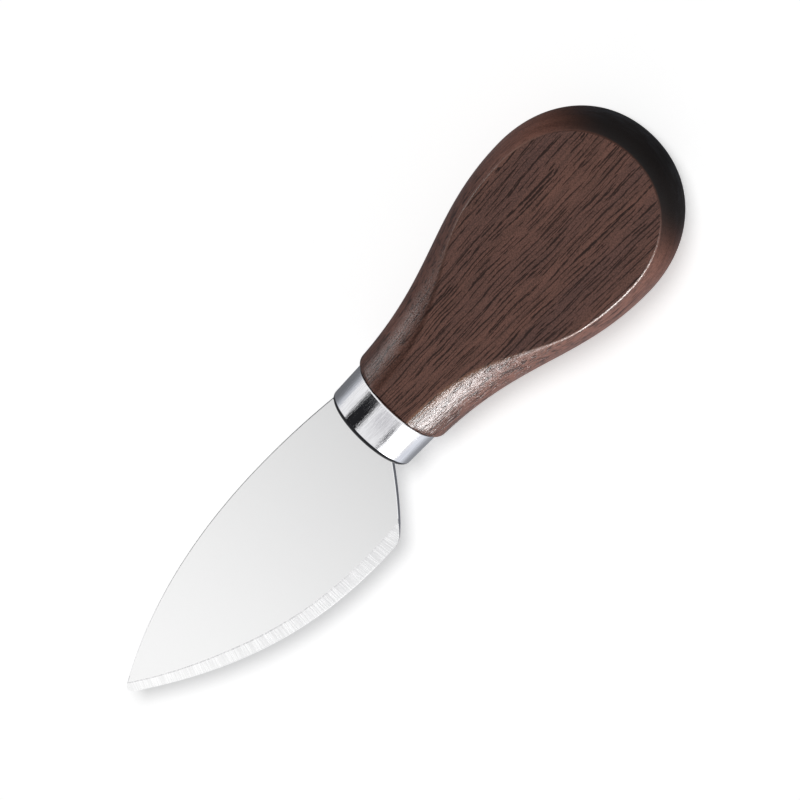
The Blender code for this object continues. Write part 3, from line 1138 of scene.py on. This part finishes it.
# %% Kinds of lamp
def place_lamp(name, data, location, target):
    lamp = add_to_studio(name, data)
    lamp.location = location
    lamp.rotation_euler = (location - target).to_track_quat("Z", "Y").to_euler()
    return lamp


def add_panel(name, location, width, height, radiance):
    """A soft rectangular lamp that faces the ferrule, with the radiance that it shows."""
    data = bpy.data.lights.new(name, "AREA")
    data.shape = "RECTANGLE"
    data.size = width
    data.size_y = height
    data.energy = radiance * math.pi * width * height
    return place_lamp(name, data, location, on_axis)


def add_sun(name, direction, angle, strength):
    """A far lamp that mirrors don't see. Its angle, in degrees, sets how soft shadows are."""
    data = bpy.data.lights.new(name, "SUN")
    data.angle = math.radians(angle)
    data.energy = strength
    lamp = place_lamp(name, data, direction, Vector((0.0, 0.0, 0.0)))
    lamp.visible_glossy = False
    return lamp


def light_only(name, pieces, lamps):
    """Keeps the lamps' light to the pieces."""
    group = bpy.data.collections.new(name)
    for piece in pieces:
        group.objects.link(piece)
    for lamp in lamps:
        lamp.light_linking.receiver_collection = group
    print(name, "has its own:", [lamp.name for lamp in lamps])


# %% Lamps
from_above = Vector((0.26, 0.21, 0.94))
along_edge_side = Vector((-0.25, -0.94, 0.14))
over_spine_side = Vector((0.50, 0.75, 0.36))
low_at_edge_side = Vector((-0.15, -0.45, 0.16))
high_at_edge_side = Vector((-0.13, -0.45, 0.25))
low_at_spine_side = Vector((-0.17, 0.46, 0.09))

add_sun("top_sun", from_above, angle=22.0, strength=1.4)
side_sun = add_sun("side_sun", along_edge_side, angle=10.0, strength=4.6)
far_sun = add_sun("far_sun", over_spine_side, angle=20.0, strength=1.2)
steel_lamp = add_panel("steel_lamp", low_at_edge_side, 0.30, 0.33, radiance=3.0)
lacquer_lamp = add_panel("lacquer_lamp", high_at_edge_side, 0.22, 0.32, radiance=134.0)
far_glint = add_panel("far_glint", low_at_spine_side, 0.10, 0.13, radiance=34.0)
for lamp in (lacquer_lamp, far_glint):
    lamp.visible_diffuse = False
light_only("wood", [walnut_paddle], [side_sun, far_sun, lacquer_lamp, far_glint])
light_only("steel", [leaf_blade, drawn_ferrule], [steel_lamp])

# %% [markdown]
# ## What the steel mirrors
#
# Polished steel shows its surroundings, so a photographer puts black and grey cards just outside the picture to
# draw its dark lines. These cards are planes that only mirroring surfaces see. One far above the spine's side
# draws the wide dark band along the ferrule. Two small ones close to it draw the thin line and the grey behind
# it, and they are placed by where the ferrule shows them. A sheet on the table, seen only in mirrors, carries
# painted shade of the table close to the knife, for the low parts of steel and lacquer.

# %% A card
def add_card(name, corners):
    """A card that only mirroring surfaces see. Returns its shader and its place."""
    shape = bmesh.new()
    shape.faces.new([shape.verts.new(corner) for corner in corners])
    card = add_to_studio(name, mesh_from(name, shape))
    made, shader, place = new_glow(name, 1.0)
    shader.inputs["Base Color"].default_value = (0.0, 0.0, 0.0, 1.0)
    dress(card, [made])
    card.visible_camera = False
    card.visible_diffuse = False
    card.visible_shadow = False
    card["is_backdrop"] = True
    print(name, "has its first corner at, mm:", [round(1000 * share) for share in corners[0]])
    return shader, place


# %% The card above the spine's side
far_card_distance = 0.5
far_card_angles = (-23.0, -62.0)
far_card_span = (-0.30, -0.04)
far_card_shade = (0.02, 0.02, 0.022)


def add_far_side_card():
    """A card along the knife's axis, between two angles from straight up."""
    edges = []
    for degrees in far_card_angles:
        angle = math.radians(degrees)
        height = axis_z + far_card_distance * math.cos(angle)
        edges.append((-far_card_distance * math.sin(angle), height))
    (y1, z1), (y2, z2) = edges
    x1, x2 = far_card_span
    corners = [(x1, y1, z1), (x2, y1, z1), (x2, y2, z2), (x1, y2, z2)]
    shader = add_card("far_side_card", corners)[0]
    shader.inputs["Emission Color"].default_value = (*far_card_shade, 1.0)


add_far_side_card()

# %% Cards close to the ferrule
line_card_distance = 0.033
line_card_corners = [(-0.5, 36.0), (7.0, 35.0), (7.0, 39.5), (-0.5, 45.0)]
line_card_shade = (0.10, 0.10, 0.11)
rear_card_distance = 0.035
rear_card_corners = [(1.0, -12.0), (7.0, -12.0), (7.0, 33.0), (1.0, 33.0)]
rear_card_fade_mm = (1.5, 6.5)
rear_card_shade = (0.48, 0.47, 0.50)


def near_card(name, corners, distance):
    """A card that only the ferrule mirrors. A corner is where the ferrule shows it, in
    millimetres behind its front, and at what angle from straight up the mirrored ray leaves."""
    up = math.cos(camera_lean)
    places = []
    for behind_front, degrees in corners:
        angle = math.radians(degrees)
        way = Vector((-math.sin(camera_lean), -up * math.sin(angle), up * math.cos(angle)))
        spot = Vector((0.0, -math.sin(angle / 2), math.cos(angle / 2))) * ferrule_front_radius
        start = Vector((ferrule_low.x + behind_front / 1000, 0.0, axis_z))
        places.append(start + spot + way * distance)
    return add_card(name, places)


def add_near_cards():
    """A dark line, and behind it grey that fades in from the ferrule's front to the wood."""
    shader = near_card("line_card", line_card_corners, line_card_distance)[0]
    shader.inputs["Emission Color"].default_value = (*line_card_shade, 1.0)
    shader, place = near_card("rear_card", rear_card_corners, rear_card_distance)
    front = 1000 * (ferrule_low.x - rear_card_distance * math.sin(camera_lean))
    fade = (place.split()[0] - front).rise(*rear_card_fade_mm)
    feed(shader, "Emission Color", fade.blend((1.0, 1.0, 1.0), rear_card_shade))


add_near_cards()

# %% The sheet of painted shade
sheet_span_x = (-0.10, 0.16)
sheet_span_y = (-0.07, 0.12)
sheet_height = 0.0002
sheet_tint = (0.95, 0.98, 1.05)
neck_reach_mm = 8.4
paddle_reach_mm = 17.0
butt_reach_mm = 66.0
spine_side_shade = 0.19
edge_side_shade = 0.32
butt_shade = 0.06


# Painted shade of the table near the knife, seen only in mirrors.
def reflected_shade_level(place):
    """How bright the painted shade is, from the distance to the knife's outline, in millimetres."""
    x, y = place.split()[:2]
    half_width = neck_reach_mm + x.rise(8.0, 40.0) * (paddle_reach_mm - neck_reach_mm)
    beyond = (abs(y) - half_width).math("MAXIMUM", x - butt_reach_mm)
    past_ferrule = x.rise(8.0, 14.0)
    spine_side = spine_side_shade + beyond.rise(8.0, 62.0) * 0.5
    edge_side = edge_side_shade + (beyond + past_ferrule * 8.0).rise(5.0, 24.0) * 0.60
    edge_side = edge_side * (1 - past_ferrule * 0.45)
    level = spine_side * y.rise(-2.0, 2.0) + edge_side * y.rise(2.0, -2.0)
    past_butt = x.rise(42.0, 58.0)
    return level * (1 - past_butt) + butt_shade * past_butt


def add_shade_sheet():
    """A sheet that only mirrors see, with painted shade of the table close to the knife."""
    (x1, x2), (y1, y2) = sheet_span_x, sheet_span_y
    corners = [(x, y, sheet_height) for x, y in ((x1, y1), (x2, y1), (x2, y2), (x1, y2))]
    shader, place = add_card("painted_shade_sheet", corners)
    feed(shader, "Emission Color", reflected_shade_level(place).blend((0.0, 0.0, 0.0), sheet_tint))


add_shade_sheet()

# %% [markdown]
# ## Hand over
#
# Each piece rides on the one body of the frame and stands for the solid that it was built after. The boxes of
# frame and scene are gathered, and the scene's size is printed.

# %% Ride and replace
for piece, node, slot in (
    (leaf_blade, "blade", "blade_steel"),
    (drawn_ferrule, "ferrule", "ferrule_steel"),
    (walnut_paddle, "handle", "handle_wood"),
):
    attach(piece, "root")
    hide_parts(node)

sizes = {"frame": [list(corner) for corner in frame_box], "scene": [list(corner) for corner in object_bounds()]}
scene_low, scene_high = [Vector(corner) for corner in sizes["scene"]]
print("scene, mm:", [round(1000 * size, 2) for size in scene_high - scene_low])
